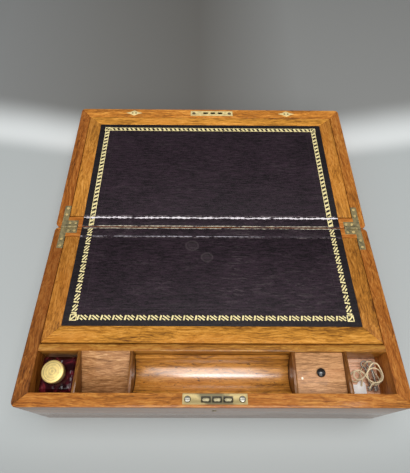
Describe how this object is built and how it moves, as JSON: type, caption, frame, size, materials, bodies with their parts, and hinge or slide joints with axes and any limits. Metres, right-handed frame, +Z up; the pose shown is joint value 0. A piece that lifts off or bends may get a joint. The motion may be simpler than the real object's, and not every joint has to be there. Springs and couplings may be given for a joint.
{
  "type": "writing case",
  "caption": "Wooden travelling writing case that opens to a sloping leather writing surface, with pen tray, inkwell, covered compartments, lock and flaps over paper storage.",
  "frame": {"origin": "centre of the base's underside, where it rests on a table", "axes": "+X to the right, -Y towards the lock side, +Y towards the hinges and the open lid, +Z up"},
  "size_m": [0.4, 0.4447, 0.11],
  "materials": {
    "case_wood": "varnished walnut, glossy, streaky grain",
    "inner_wood": "varnished walnut inside the case, satin",
    "writing_leather": "dark aubergine leather, gilt tooled",
    "brass_fittings": "aged lacquered brass",
    "steel_parts": "dull grey steel",
    "inkwell_glass": "dark amethyst pressed glass",
    "ebony": "black polished turned wood",
    "cap_leather": "thin washer leather",
    "twine": "twisted natural twine",
    "tag_card": "plain white card"
  },
  "bodies": {
    "base": {"base_front_board": "case_wood", "base_back_board": "case_wood", "base_left_board": "case_wood", "base_right_board": "case_wood", "base_bottom_board": "inner_wood", "base_partition": "inner_wood", "compartment_floor": "inner_wood", "compartment_dividers": "inner_wood", "cover_cleats": "inner_wood", "sloped_floor": "inner_wood", "base_flap_ledges": "inner_wood", "base_rail_leather": "writing_leather", "lock_case": "brass_fittings", "lock_plate": "brass_fittings", "lock_plate_screws": "brass_fittings", "keyhole_escutcheon": "brass_fittings", "base_hinge_leaves": "brass_fittings", "hinge_pins": "brass_fittings", "base_hinge_screws": "brass_fittings"},
    "lid": {"lid_front_board": "case_wood", "lid_back_board": "case_wood", "lid_left_board": "case_wood", "lid_right_board": "case_wood", "lid_top_board": "case_wood", "lid_flap_ledges": "inner_wood", "lid_rail_leather": "writing_leather", "link_plate": "brass_fittings", "link_plate_screws": "brass_fittings", "diamond_plates": "brass_fittings", "diamond_screws": "steel_parts", "lid_hinge_leaves": "brass_fittings", "lid_hinge_screws": "brass_fittings"},
    "base_flap": {"base_flap_panel": "inner_wood", "base_flap_border": "case_wood", "base_flap_leather": "writing_leather"},
    "lid_flap": {"lid_flap_panel": "inner_wood", "lid_flap_border": "case_wood", "lid_flap_leather": "writing_leather"},
    "hooks": {"lock_hooks": "steel_parts"},
    "cam": {"lock_cam": "brass_fittings"},
    "tray": {"pen_tray": "inner_wood"},
    "cover": {"pen_cover": "inner_wood", "cover_knob": "ebony"},
    "inkwell": {"inkwell_glass": "inkwell_glass", "inkwell_collar": "brass_fittings"},
    "washer": {"cap_washer": "cap_leather"},
    "cap": {"inkwell_cap": "brass_fittings"},
    "key_bunch": {"keys": "steel_parts", "key_tag": "tag_card", "key_string": "twine"}
  },
  "joints": [
    {"name": "lid_hinge", "type": "hinge", "parent": "base", "child": "lid", "pos_m": [0, 0.1103, 0.07811], "axis": [1, 0, 0], "range_deg": [0, 176.7]},
    {"name": "base_flap_hinge", "type": "hinge", "parent": "base", "child": "base_flap", "pos_m": [0, 0.095, 0.08018], "axis": [1, 0, 0], "range_deg": [-85, 0]},
    {"name": "lid_flap_hinge", "type": "hinge", "parent": "lid", "child": "lid_flap", "pos_m": [0, 0.12721, 0.07648], "axis": [-1, 0, 0], "range_deg": [-90, 0]},
    {"name": "hooks_rise", "type": "slide", "parent": "base", "child": "hooks", "axis": [0, 0, 1], "range_m": [0, 0.006]},
    {"name": "cam_turn", "type": "hinge", "parent": "base", "child": "cam", "pos_m": [0.002, -0.102, 0.085], "axis": [0, -1, 0], "range_deg": [0, 90]},
    {"name": "tray_lift", "type": "slide", "parent": "base", "child": "tray", "axis": [0, 0, -1], "range_m": [-0.06, 0]},
    {"name": "cover_lift", "type": "slide", "parent": "base", "child": "cover", "axis": [0, 0, -1], "range_m": [-0.04, 0]},
    {"name": "inkwell_lift", "type": "slide", "parent": "base", "child": "inkwell", "axis": [0, 0, -1], "range_m": [-0.06, 0]},
    {"name": "cap_rise", "type": "slide", "parent": "inkwell", "child": "washer", "axis": [0, 0, -1], "range_m": [-0.004, 0]},
    {"name": "cap_turn", "type": "hinge", "parent": "washer", "child": "cap", "pos_m": [-0.16637, -0.074, 0.097], "axis": [0, 0, -1], "range_deg": [-720, 0]},
    {"name": "keys_lift", "type": "slide", "parent": "base", "child": "key_bunch", "axis": [0, 0, -1], "range_m": [-0.06, 0]}
  ],
  "couplings": [
    {"joint": "cam_turn", "follows": "hooks_rise", "rad_per_m": 261.8},
    {"joint": "cap_rise", "follows": "cap_turn", "m_per_rad": 0.00031831}
  ]
}
